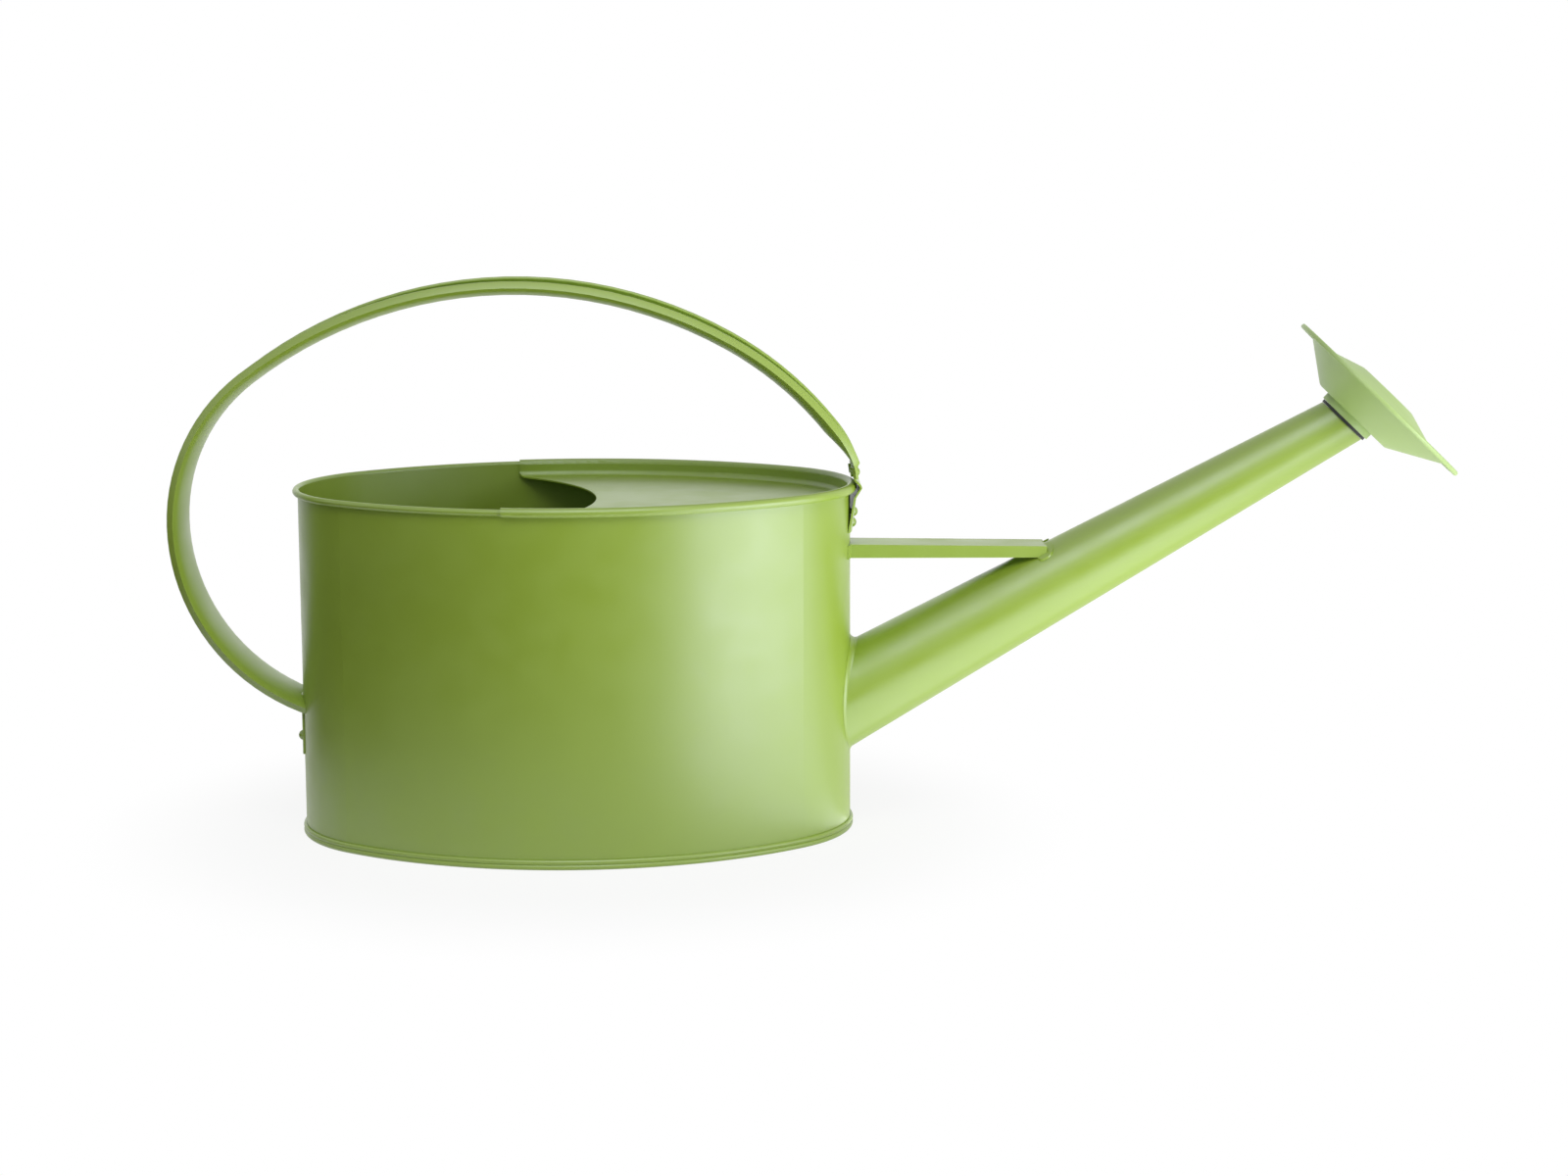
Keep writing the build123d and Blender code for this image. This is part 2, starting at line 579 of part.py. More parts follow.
# Wall rivets of the bracket, one above the other and square to its leaning plate
lean = math.atan2(waist[0] - foot[0], waist[1] - foot[1])
wall_frames = []
wall_grips = []
lower_level = RIM_HEIGHT - WALL_RIVET_DROP
for level in (lower_level, lower_level + WALL_RIVET_PITCH):
    plate_out = foot[0] + (level - foot[1]) * math.tan(lean) + BRACKET_SHEET
    wall_frames.append(
        Plane(origin=(plate_out, 0, level), x_dir=(0, 1, 0), z_dir=(math.cos(lean), 0, -math.sin(lean)))
    )
    wall_grips.append((plate_out - FRONT + SHEET) * math.cos(lean))

# Rivets between tongue and bracket
tongue_middle = step_from(tongue_start, (TONGUE_LENGTH / 2, tongue_run))
tongue_out = (-front_in.X, 0, -front_in.Y)
strap_frames = []
for side in (1, -1):
    at = (tongue_middle[0], side * STRAP_RIVET_SPREAD, tongue_middle[1])
    strap_frames.append(Plane(origin=at, x_dir=(0, 1, 0), z_dir=tongue_out))

for frame in rear_frames:
    handle_strap -= rivet_hole(frame)
    body_wall -= rivet_hole(frame)
for frame in wall_frames:
    handle_front_bracket -= rivet_hole(frame)
    body_wall -= rivet_hole(frame)
for frame in strap_frames:
    handle_front_bracket -= rivet_hole(frame)
    handle_strap -= rivet_hole(frame)

rear_grip = STRAP_SHEET + FOLD_GAP + SHEET
strap_grip = STRAP_SHEET + FOLD_GAP + BRACKET_SHEET
rivets = {}
for number in (1, 2):
    rear = rivet_at(rear_frames[number - 1], rear_grip)
    wall = rivet_at(wall_frames[number - 1], wall_grips[number - 1])
    rivets[f"handle_rear_rivet_{number}"] = rear - handle_strap - body_wall
    rivets[f"bracket_wall_rivet_{number}"] = wall - handle_front_bracket - body_wall
    rivets[f"bracket_strap_rivet_{number}"] = rivet_at(strap_frames[number - 1], strap_grip)

# Heights along the rose's axis, from the slanted end of the spout
seal_top = SEAT_GAP + SEAL_THICKNESS
collar_foot = seal_top + SEAT_GAP
back = collar_foot + COLLAR_HEIGHT
face = back + ROSE_DEPTH
flange_top = face - SHEET - FOLD_GAP
flange_foot = flange_top - SHEET
crimp = 3 * SHEET + 2 * FOLD_GAP
crimp_bend = SHEET + CRIMP_INSIDE


def upright(radius, bottom, top, aside=0):
    """Cylinder along the rose's axis between two heights."""
    column = Cylinder(radius, top - bottom, align=(Align.CENTER, Align.CENTER, Align.MIN))
    return Pos(aside, 0, bottom) * column


# Rubber ring and neck
spigot_radius = SPIGOT / 2
rose_seal = ROSE_FRAME * (
    upright(SEAL_DIAMETER / 2, SEAT_GAP, seal_top) - upright(spigot_radius + SPIGOT_PLAY, 0, back)
)
neck = upright(COLLAR_DIAMETER / 2, collar_foot, back) + upright(spigot_radius, -SPIGOT_LENGTH, back)
water_way = upright(spigot_radius - SHEET, -SPIGOT_LENGTH, face)
rose_neck = ROSE_FRAME * (neck - water_way)

# Dished back of the rose: an oblique cone with a rounded shoulder and a flat flange
dish_slope = (ROSE_DISH - ROSE_BACK) / 2 / (flange_foot - back)
dish_inset = SHEET * math.sqrt(1 + dish_slope**2)
dish_drift = (ROSE_DROP - ROSE_BACK_DROP) / (flange_foot - back)


def dish(lift, inset, shoulder):
    """Solid dish, raised by lift and smaller by inset."""
    grow = dish_slope * lift - inset
    drift = dish_drift * lift
    low = Pos(ROSE_BACK_DROP + drift, 0, back + lift) * Circle(ROSE_BACK / 2 + grow)
    high = Pos(ROSE_DROP + drift, 0, flange_foot + lift) * Circle(ROSE_DISH / 2 + grow)
    solid = loft([low, high])
    return fillet(solid.edges().sort_by(Axis.Z)[0], shoulder)


rose_back_shell = ROSE_FRAME * (
    dish(0, 0, ROSE_SHOULDER)
    + upright(ROSE_DIAMETER / 2 - crimp_bend, flange_foot, flange_top, ROSE_DROP)
    - dish(SHEET, dish_inset, ROSE_SHOULDER - SHEET)
    - water_way
)

# Face of the rose: raised middle with spray holes, edge folded back round the flange
rim = ROSE_DIAMETER / 2
face_line = FilletPolyline(
    (0, DOME_HEIGHT),
    (DOME_TOP / 2, DOME_HEIGHT),
    (DOME_BASE / 2, 0),
    (rim, 0),
    (rim, -crimp),
    (rim - CRIMP_WIDTH, -crimp),
    radius=[DOME_SHOULDER, DOME_FOOT, crimp_bend, crimp_bend],
)
face_section = Plane.XZ * make_face(offset(face_line, SHEET, side=Side.RIGHT))
rose_plate = Pos(ROSE_DROP, 0, face) * revolve(face_section, Axis.Z, 360)
spray_holes = [upright(SPRAY_HOLE / 2, face, face + 2 * DOME_HEIGHT, ROSE_DROP)]
for ring in range(1, SPRAY_RINGS + 1):
    for spot in PolarLocations(ring * SPRAY_PITCH, 6 * ring):
        spray_holes.append(Pos(ROSE_DROP, 0, face) * spot * Cylinder(SPRAY_HOLE / 2, 4 * DOME_HEIGHT))
rose_face = ROSE_FRAME * (rose_plate - spray_holes)

pieces = {
    "body_wall": body_wall,
    "rim_wire": rim_wire,
    "base_pan": base_pan,
    "half_cover": half_cover,
    "spout_tube": spout_tube,
    "spout_solder": spout_solder,
    "spout_socket": spout_socket,
    "spout_brace": spout_brace,
    "handle_strap": handle_strap,
    "handle_front_bracket": handle_front_bracket,
    "rose_seal": rose_seal,
    "rose_neck": rose_neck,
    "rose_back_shell": rose_back_shell,
    "rose_face": rose_face,
    **rivets,
}
os.makedirs("parts", exist_ok=True)
for name, piece in pieces.items():
    export_step(piece, f"parts/{name}.step")
    print(name, len(piece.solids()), "solids", round(piece.volume), "mm3", "valid", piece.is_valid)
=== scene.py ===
# %% [markdown]
# # A green watering can, dressed for its photograph
# The can is sheet steel: an oval tank, a half cover, a cone of a spout with a rose on its tip and a strap handle.
# All of that comes in as a imported model that is never moved. This lesson adds the camera, the light and the
# finishes, and draws the handle's strap with its true section. It starts by loading the model.

# %% Load the can
import math

import bpy
from mathutils import Euler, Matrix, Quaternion, Vector


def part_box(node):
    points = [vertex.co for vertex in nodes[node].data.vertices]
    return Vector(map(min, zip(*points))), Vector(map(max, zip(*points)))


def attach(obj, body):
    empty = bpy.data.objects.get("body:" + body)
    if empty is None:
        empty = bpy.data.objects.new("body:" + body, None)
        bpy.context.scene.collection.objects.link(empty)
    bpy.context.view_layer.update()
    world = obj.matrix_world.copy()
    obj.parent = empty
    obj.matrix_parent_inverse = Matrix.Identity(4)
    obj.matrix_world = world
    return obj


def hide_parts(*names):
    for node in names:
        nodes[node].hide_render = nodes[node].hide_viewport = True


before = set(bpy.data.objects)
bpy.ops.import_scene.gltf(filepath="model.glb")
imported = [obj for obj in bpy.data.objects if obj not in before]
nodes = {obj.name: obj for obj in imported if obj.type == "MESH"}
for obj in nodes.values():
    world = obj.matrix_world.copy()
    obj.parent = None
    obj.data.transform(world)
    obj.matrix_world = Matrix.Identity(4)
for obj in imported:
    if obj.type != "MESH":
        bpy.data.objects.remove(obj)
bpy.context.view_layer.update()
scene = bpy.context.scene
bpy.ops.object.select_all(action="DESELECT")

# %% [markdown]
# ## Camera
# The photograph was taken from the can's side with a long lens, a little above the rim, so the oval of the rim is
# just open. The lens could be set by eye, but its place was worked out from edges whose sizes are known. The camera
# is turned up from looking straight down, then swung a little to the right, and rolled by a fifth of a degree.

# %% Camera
SENSOR, LENS = 36, 72.72  # mm, width and focal length
CAMERA_PLACE = (0.0571, -1.6217, 0.3978)
LOOK_DOWN, SWING, ROLL = 0.1668, 0.0312, -0.0035  # radians

camera_data = bpy.data.cameras.new("camera")
camera_data.sensor_fit = "HORIZONTAL"
camera_data.sensor_width = SENSOR
camera_data.lens = LENS
camera = bpy.data.objects.new("camera", camera_data)
scene.collection.objects.link(camera)
camera.location = CAMERA_PLACE
camera.rotation_mode = "QUATERNION"
aim = Euler((math.pi / 2 - LOOK_DOWN, 0, -SWING)).to_quaternion()
camera.rotation_quaternion = aim @ Quaternion((0, 0, 1), ROLL)
scene.camera = camera
scene.view_settings.view_transform = "Standard"
print("camera:", [round(c, 3) for c in camera.location], "lens", LENS)

# %% [markdown]
# ## Small helpers for node trees
# Every material and the world are node trees, and each is the same three moves: add a node, set its values, link
# it. A few helpers keep those moves short, so that the cells below read as a list of nodes.


# %% Node helpers
def feed(tree, node, inputs):
    """Gives each input of a node its value, or the link that feeds it."""
    for name, value in inputs.items():
        if isinstance(value, bpy.types.NodeSocket):
            tree.links.new(value, node.inputs[name])
        else:
            node.inputs[name].default_value = value


def add_node(tree, kind, inputs=None, **settings):
    """Adds a node, sets its properties and feeds its inputs."""
    node = tree.nodes.new("ShaderNode" + kind)
    for name, value in settings.items():
        setattr(node, name, value)
    feed(tree, node, inputs or {})
    return node


def add_math(tree, operation, *values):
    """Adds a Math node and returns its output."""
    return add_node(tree, "Math", dict(enumerate(values)), operation=operation).outputs[0]


def add_range(tree, value, low, high, to_low=0.0, to_high=1.0):
    """Carries a value from one range to another, eased at both ends."""
    spread = {"Value": value, "From Min": low, "From Max": high, "To Min": to_low, "To Max": to_high}
    return add_node(tree, "MapRange", spread, interpolation_type="SMOOTHSTEP").outputs["Result"]


def add_mix(tree, factor, first, second):
    """Mixes two colours."""
    return add_node(tree, "Mix", {0: factor, 6: first, 7: second}, data_type="RGBA").outputs[2]


def add_seen(tree):
    """1 for what the camera, a reflection or a pane looks at, 0 for what only lights other things."""
    ray = add_node(tree, "LightPath").outputs
    seen = add_math(tree, "MAXIMUM", ray["Is Camera Ray"], ray["Is Transmission Ray"])
    return add_math(tree, "MAXIMUM", seen, ray["Is Glossy Ray"])


def new_material(name):
    """Starts a material and returns it with its node tree and its Principled shader."""
    material = bpy.data.materials.new(name)
    material.use_nodes = True
    return material, material.node_tree, material.node_tree.nodes["Principled BSDF"]


print("node helpers ready")

# %% [markdown]
# ## White table
# The can stands on white with nothing else in sight. In a studio that is a small white table in front of a white
# backdrop. Here the table gives out white to the camera, to reflections and through panes, and fades to its own
# shaded white close to the can, so that the shadow under the can is kept. It is small, so light reaches the can
# from below the table's level too.

# %% Table
TABLE_MIDDLE = (0.09, 0, 0)
TABLE_RADIUS, TABLE_SIDES = 0.4, 96
TABLE_PAPER = (0.86, 0.86, 0.86, 1)
SHADE_NEAR, SHADE_FAR = 0.14, 0.27  # m from the can's middle, where its own shade fades out
SHADE_SHARE = 0.11  # of its own shaded white, close to the can
WHITE = (1, 1, 1, 1)

bpy.ops.mesh.primitive_circle_add(
    vertices=TABLE_SIDES, radius=TABLE_RADIUS, fill_type="NGON", location=TABLE_MIDDLE
)
table = bpy.context.object
table.name = "white_table"
table_white, tree, _ = new_material("white_table")
tree.nodes.clear()
place = add_node(tree, "TexCoord").outputs["Object"]
away = {0: place, 1: tuple(-c for c in TABLE_MIDDLE)}
distance = add_node(tree, "VectorMath", away, operation="DISTANCE").outputs["Value"]
own_shade = add_range(tree, distance, SHADE_NEAR, SHADE_FAR, SHADE_SHARE, 0.0)
glow = add_math(tree, "MULTIPLY", add_seen(tree), add_math(tree, "SUBTRACT", 1.0, own_shade))
paper = add_node(tree, "BsdfDiffuse", {"Color": TABLE_PAPER})
light = add_node(tree, "Emission", {"Color": WHITE, "Strength": 1.0})
sweep = add_node(tree, "MixShader", {0: glow, 1: paper.outputs[0], 2: light.outputs[0]})
add_node(tree, "OutputMaterial", {"Surface": sweep.outputs[0]})
table.data.materials.append(table_white)
print("table:", 2 * TABLE_RADIUS, "m across")

# %% [markdown]
# ## White room
# Behind, above and below the can everything is white. The world is that white where the camera, a reflection or a
# pane looks at it. As a light it is dimmer above than below, because the rose and the spout are lit from underneath.

# %% World
SKY_LIGHT, GROUND_LIGHT = 0.205, 1.08
GROUND_END, SKY_START = -0.3, 0.2  # upward part of the direction, between which one passes into the other

world = bpy.data.worlds.new("studio")
scene.world = world
world.use_nodes = True
tree = world.node_tree
tree.nodes.clear()
seen = add_seen(tree)
upward = add_node(tree, "SeparateXYZ", {0: add_node(tree, "TexCoord").outputs["Generated"]}).outputs["Z"]
glow = add_range(tree, upward, GROUND_END, SKY_START, GROUND_LIGHT, SKY_LIGHT)
unseen = add_math(tree, "SUBTRACT", 1.0, seen)
strength = add_math(tree, "ADD", seen, add_math(tree, "MULTIPLY", glow, unseen))
sky = add_node(tree, "Background", {"Color": WHITE, "Strength": strength})
add_node(tree, "OutputWorld", {"Surface": sky.outputs[0]})
print("world: light", SKY_LIGHT, "above and", GROUND_LIGHT, "below")

# %% [markdown]
# ## Softboxes and a dark card
# The broad upright highlight on the tank's right is a tall softbox that reaches below the table. A second one hangs
# above the camera for the rim and the cover, a panel on the table lights the spout from below, and one behind the can
# lights its far edges. The tank's left stays deep green because that side of the room is dark. Lamps alone would
# leave the white world to shine there, so a dark card curves round the front and the left, out of the camera's sight.

# %% Softboxes
SOFTBOX_COLOUR = (0.95, 0.97, 1.0)
SOFTBOXES = {  # place, point aimed at, width and height in m, watts
    "side_softbox": ((1.68, -1.02, -0.08), (0.05, 0, 0.1), (1.35, 1.5), 25.0),
    "top_softbox": ((0.1, -1.25, 1.7), (0.15, 0, 0.15), (1.4, 1.2), 16.5),
    "table_panel": ((0.31, -0.26, 0.004), (0.31, -0.26, 1), (0.34, 0.5), 0.66),
    "back_panel": ((-0.1, 2.2, 0.2), (0.1, 0, 0.15), (2.2, 1.5), 4.0),
}

for name, (place, target, (wide, tall), watts) in SOFTBOXES.items():
    lamp = bpy.data.lights.new(name, "AREA")
    lamp.shape = "RECTANGLE"
    lamp.size, lamp.size_y = wide, tall
    lamp.energy = watts
    lamp.color = SOFTBOX_COLOUR
    softbox = bpy.data.objects.new(name, lamp)
    scene.collection.objects.link(softbox)
    softbox.location = place
    softbox.visible_camera = False
    softbox.rotation_mode = "QUATERNION"
    softbox.rotation_quaternion = (Vector(target) - Vector(place)).to_track_quat("-Z", "Y")
    print(name, wide, "x", tall, "m,", watts, "W")

# %% Dark card
CARD_RADIUS, RING_PANELS = 2.6, 90  # the card is cut from a full ring
CARD_START, CARD_END = 140.0, 308.0  # degrees round from +X
CARD_FOOT, CARD_TOP = -1.4, 0.5
CARD_GREY, CARD_ROUGHNESS = (0.03, 0.03, 0.03, 1), 0.9

bpy.ops.mesh.primitive_circle_add(vertices=RING_PANELS, radius=CARD_RADIUS, location=(0, 0, CARD_FOOT))
card = bpy.context.object
card.name = "front_card"
bpy.ops.object.mode_set(mode="EDIT")
bpy.ops.mesh.select_all(action="SELECT")
bpy.ops.mesh.extrude_region_move(TRANSFORM_OT_translate={"value": (0, 0, CARD_TOP - CARD_FOOT)})
bpy.ops.mesh.select_all(action="DESELECT")
bpy.ops.object.mode_set(mode="OBJECT")
for face in card.data.polygons:
    bearing = math.degrees(math.atan2(face.center.y, face.center.x)) % 360
    face.select = not CARD_START < bearing < CARD_END
bpy.ops.object.mode_set(mode="EDIT")
bpy.ops.mesh.select_mode(type="FACE")
bpy.ops.mesh.delete(type="FACE")
bpy.ops.object.mode_set(mode="OBJECT")
card.visible_camera = False
card.visible_transmission = False
dark, tree, shader = new_material("front_card")
feed(tree, shader, {"Base Color": CARD_GREY, "Roughness": CARD_ROUGHNESS})
card.data.materials.append(dark)
print(card.name, len(card.data.polygons), "panels")

# %% [markdown]
# ## Handle strap
# The handle is one strip of sheet. Its edges are folded outwards into low rolled walls, and the web between them
# bulges inwards, to the fingers. The model keeps to a simpler section, so this piece stands for it on the same path.
# The section could be swept along a curve, but spinning it about the centre of each bend gives true arcs, which are
# the way that a strap is bent. It is drawn where the strap runs upright, at the rear, and is spun both ways from there.

# %% Handle path
REAR_HEIGHT, CROWN_PLACE = 0.162, -0.0304  # Z of the rearmost point, X of the highest one
REAR_BEND, UPPER_BEND, NOSE_BEND = 0.10472, 0.097, 0.045  # radii of the lower rear, upper rear and front bends
REAR_TURN, CROWN_END, SHOULDER_END, TONGUE_LEAN = 71.0, 60.6, 38.7, 8.0  # degrees; the last three above level
SHOULDER = Vector((0.135, 0, 0.2112))
TONGUE = 0.0058  # straight end in front of the last bend


def outwards(degrees):
    """Direction at an angle above level, in the upright plane through handle and spout."""
    return Vector((math.cos(math.radians(degrees)), 0, math.sin(math.radians(degrees))))


strap_low, strap_high = (Vector(corner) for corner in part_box("handle_strap"))
rearmost = Vector((strap_low.x, 0, REAR_HEIGHT))
crown_top = Vector((CROWN_PLACE, 0, strap_high.z))
reach = crown_top - rearmost
crown_bend = (reach.length_squared - 2 * reach.x * UPPER_BEND) / (2 * (reach.z - UPPER_BEND))
crown_centre = crown_top - Vector((0, 0, crown_bend))
upper_centre = rearmost + Vector((UPPER_BEND, 0, 0))
rear_centre = rearmost + Vector((REAR_BEND, 0, 0))
between = upper_centre - crown_centre
crown_start = math.degrees(math.atan2(between.z, between.x))
crown_exit = crown_centre + crown_bend * outwards(CROWN_END)
chord = SHOULDER - crown_exit
front_bend = chord.length_squared / (-2 * chord.dot(outwards(CROWN_END)))
front_centre = crown_exit - front_bend * outwards(CROWN_END)
nose_centre = SHOULDER - NOSE_BEND * outwards(SHOULDER_END)
tongue_run = outwards(TONGUE_LEAN - 90)
print("bends:", [round(r, 4) for r in (REAR_BEND, UPPER_BEND, crown_bend, front_bend, NOSE_BEND)])

# %% Handle section
STRAP_HALF = 0.021
STRAP_SHEET = 0.0009
WALL_DEPTH = 0.0034  # folded edge, from its outer side to the crease
WALL_LEAN = 0.0028  # how far the folded edge leans in from the crease to its rounded top
EDGE_ROLL = 0.001  # radius of that top
ROLL_FROM, ROLL_TO, ROLL_STEP = 200, 38, 27  # degrees round it
WEB_DEPTH, WEB_STEPS = 0.008, 12
WEB_FLAT, WEB_STEEP = 2.2, 0.7  # powers that keep the web flat in the middle and steep at the crease

half_section = []
for degrees in range(ROLL_FROM, ROLL_TO - 1, -ROLL_STEP):
    over = outwards(degrees) * EDGE_ROLL
    half_section.append((STRAP_HALF - WALL_LEAN + over.x, EDGE_ROLL - over.z))
for number in range(WEB_STEPS + 1):
    left = 1 - number / WEB_STEPS
    bulge = (1 - left**WEB_FLAT) ** WEB_STEEP
    half_section.append((STRAP_HALF * left, WALL_DEPTH + (WEB_DEPTH - WALL_DEPTH) * bulge))
section = half_section + [(-across, depth) for across, depth in reversed(half_section[:-1])]


def section_point(across, depth):
    """Place of a point of the section, where the strap stands upright."""
    return rearmost + Vector((depth, across, 0))


bpy.ops.mesh.primitive_plane_add(size=STRAP_SHEET)
strap = bpy.context.object
strap.name = "strap_handle"
bpy.ops.object.mode_set(mode="EDIT")
bpy.ops.mesh.select_mode(type="VERT")
bpy.ops.mesh.select_all(action="SELECT")
bpy.ops.mesh.merge(type="CENTER")
bpy.ops.transform.translate(value=section_point(*section[0]))
for before, after in zip(section, section[1:]):
    stride = section_point(*after) - section_point(*before)
    bpy.ops.mesh.extrude_region_move(TRANSFORM_OT_translate={"value": stride})
bpy.ops.object.mode_set(mode="OBJECT")
print("section:", len(strap.data.vertices), "points")

# %% Handle bends
TOUCH = 1e-5  # m, points closer than this lie in one place
SPIN_AXIS = (0, -1, 0)  # from the rear up and over to the front
BENDS = [  # centre, degrees and steps, in the order in which they follow each other
    (upper_centre, 180 - crown_start, 14),
    (crown_centre, crown_start - CROWN_END, 24),
    (front_centre, CROWN_END - SHOULDER_END, 9),
    (nose_centre, SHOULDER_END - TONGUE_LEAN, 12),
]
REAR_STEPS = 20


def select_level(piece, height):
    """Selects the points that lie at one height."""
    bpy.ops.object.mode_set(mode="OBJECT")
    for point in piece.data.vertices:
        point.select = abs(point.co.z - height) < TOUCH
    for edge in piece.data.edges:
        edge.select = all(piece.data.vertices[number].select for number in edge.vertices)
    bpy.ops.object.mode_set(mode="EDIT")
    bpy.ops.mesh.select_mode(type="VERT")


select_level(strap, rearmost.z)
for centre, degrees, steps in BENDS:
    bpy.ops.mesh.spin(steps=steps, angle=math.radians(degrees), center=centre, axis=SPIN_AXIS)
bpy.ops.mesh.extrude_region_move(TRANSFORM_OT_translate={"value": TONGUE * tongue_run})
select_level(strap, rearmost.z)
bpy.ops.mesh.spin(steps=REAR_STEPS, angle=-math.radians(REAR_TURN), center=rear_centre, axis=SPIN_AXIS)
bpy.ops.object.mode_set(mode="OBJECT")
farthest = [round(max(point.co[axis] for point in strap.data.vertices), 4) for axis in (0, 2)]
print("strap:", len(strap.data.polygons), "faces, reaches", farthest)

# %% [markdown]
# ### Ends of the strap
# At the front the web is pressed flat between the folded edges, so that the strap ends in a tongue that is riveted
# to the bracket. At the rear the strap runs full width to the wall, and a tab is bent down on the wall for two more
# rivets. A flat end could be cut by hand, but the wall is round, so a cylinder of its radius cuts the rear end.

# %% Pressed tongue
TONGUE_HALF = 0.0185
TONGUE_EDGE = 0.4  # share of the folded edge's height that is left at the tongue's end
PRESS_FROM = 0.1  # X behind which nothing is pressed
PRESS_EASE = 1.5  # power that makes the pressing start gently
SLIVER = 1e-6  # m, points this close to the tongue's start count as on it

flat_section = [
    (across * TONGUE_HALF / STRAP_HALF, min(depth, WALL_DEPTH) - WALL_DEPTH + STRAP_SHEET)
    for across, depth in section
]
tongue_start = nose_centre + NOSE_BEND * outwards(TONGUE_LEAN)
for point in strap.data.vertices:
    arm = point.co - nose_centre
    angle = math.degrees(math.atan2(arm.z, arm.x))
    past = (point.co - tongue_start).dot(tongue_run)
    if point.co.x < PRESS_FROM or (angle > SHOULDER_END and past < 0):
        continue
    if past > -SLIVER:  # on the straight tongue
        base, facing, share = tongue_start + past * tongue_run, outwards(TONGUE_LEAN), 1.0
    else:  # on the bend before it
        base, facing = nose_centre + NOSE_BEND * outwards(angle), outwards(angle)
        share = ((SHOULDER_END - angle) / (SHOULDER_END - TONGUE_LEAN)) ** PRESS_EASE
    depth = (base - point.co).dot(facing)
    nearest = min(range(len(section)), key=lambda number: math.dist(section[number], (point.co.y, depth)))
    across, depth = (full + (flat - full) * share for full, flat in zip(section[nearest], flat_section[nearest]))
    if past > SLIVER:
        depth = STRAP_SHEET - (STRAP_SHEET - depth) * TONGUE_EDGE
    point.co = base - depth * facing + Vector((0, across, 0))
print("tongue:", 2 * TONGUE_HALF, "m wide")

# %% Sheet thickness and wall cut
WALL_MIDDLE = Vector((-0.072, 0, 0))
WALL_RADIUS, WALL_SIDES = 0.07005, 360
CUT_FOOT, CUT_TOP = 0.02, 0.12


def apply_modifier(piece, kind, **settings):
    """Adds a modifier, sets it and applies it."""
    modifier = piece.modifiers.new(kind.lower(), kind)
    for name, value in settings.items():
        setattr(modifier, name, value)
    bpy.ops.object.select_all(action="DESELECT")
    bpy.context.view_layer.objects.active = piece
    piece.select_set(True)
    bpy.ops.object.modifier_apply(modifier=modifier.name)


def add_wall(foot, top, ends):
    """Adds a cylinder with the radius of the tank's rear."""
    middle = WALL_MIDDLE + Vector((0, 0, (top + foot) / 2))
    bpy.ops.object.select_all(action="DESELECT")
    bpy.ops.mesh.primitive_cylinder_add(
        vertices=WALL_SIDES, radius=WALL_RADIUS, depth=top - foot, end_fill_type=ends, location=middle
    )
    return bpy.context.object


bpy.ops.object.mode_set(mode="EDIT")
bpy.ops.mesh.select_all(action="SELECT")
bpy.ops.mesh.remove_doubles(threshold=SLIVER)
bpy.ops.mesh.normals_make_consistent(inside=False)
bpy.ops.object.mode_set(mode="OBJECT")
web_middle = crown_top - Vector((0, 0, WEB_DEPTH))
web_face = min(strap.data.polygons, key=lambda face: (face.center - web_middle).length)
if web_face.normal.z > 0:
    strap.data.flip_normals()
apply_modifier(strap, "SOLIDIFY", thickness=STRAP_SHEET, offset=-1.0)
cutter = add_wall(CUT_FOOT, CUT_TOP, "NGON")
apply_modifier(strap, "BOOLEAN", operation="DIFFERENCE", object=cutter, solver="EXACT")
bpy.data.objects.remove(cutter)
print("strap sheet:", len(strap.data.polygons), "faces")

# %% Rear tab
TAB_HALF, TAB_FOOT, TAB_TOP = 0.014, 0.042, 0.0735
TAB_CORNER, CORNER_STEPS = 0.005, 5
SMOOTH_ANGLE = 35  # degrees, edges that bend by more stay sharp
TAB_CUTS = [  # point and direction of what is cut away
    ((0, TAB_HALF, 0), (0, 1, 0)),
    ((0, -TAB_HALF, 0), (0, -1, 0)),
    (WALL_MIDDLE, (1, 0, 0)),
]

tab = add_wall(TAB_FOOT, TAB_TOP, "NOTHING")
tab.name = "rear_tab"
bpy.ops.object.transform_apply(location=True)
bpy.ops.object.mode_set(mode="EDIT")
for place, facing in TAB_CUTS:
    bpy.ops.mesh.select_all(action="SELECT")
    bpy.ops.mesh.bisect(plane_co=place, plane_no=facing, clear_outer=True)
bpy.ops.mesh.select_all(action="DESELECT")
bpy.ops.object.mode_set(mode="OBJECT")
for point in tab.data.vertices:
    point.select = point.co.z < TAB_FOOT + TOUCH and abs(abs(point.co.y) - TAB_HALF) < TOUCH
bpy.ops.object.mode_set(mode="EDIT")
bpy.ops.mesh.select_mode(type="VERT")
bpy.ops.mesh.bevel(offset=TAB_CORNER, segments=CORNER_STEPS, affect="VERTICES")
bpy.ops.object.mode_set(mode="OBJECT")
apply_modifier(tab, "SOLIDIFY", thickness=STRAP_SHEET, offset=1.0)
strap.select_set(True)
bpy.context.view_layer.objects.active = strap
bpy.ops.object.join()
bpy.ops.object.transform_apply(location=True, rotation=True, scale=True)
bpy.ops.object.shade_smooth_by_angle(angle=math.radians(SMOOTH_ANGLE))
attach(strap, "can")
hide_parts("handle_strap")
print("strap with its tab:", len(strap.data.polygons), "faces")

# %% [markdown]
# ## Sprayed skin
# Paint that is sprayed on sheet steel and baked isn't flat. It keeps a fine orange peel, the sheet under it has slow
# waves, and a few specks of dust are shut in. The skin could be carved in the mesh, but it is far finer than any
# face, so it is a group of noises that puts out a height for a Bump node. All the painted pieces share it.


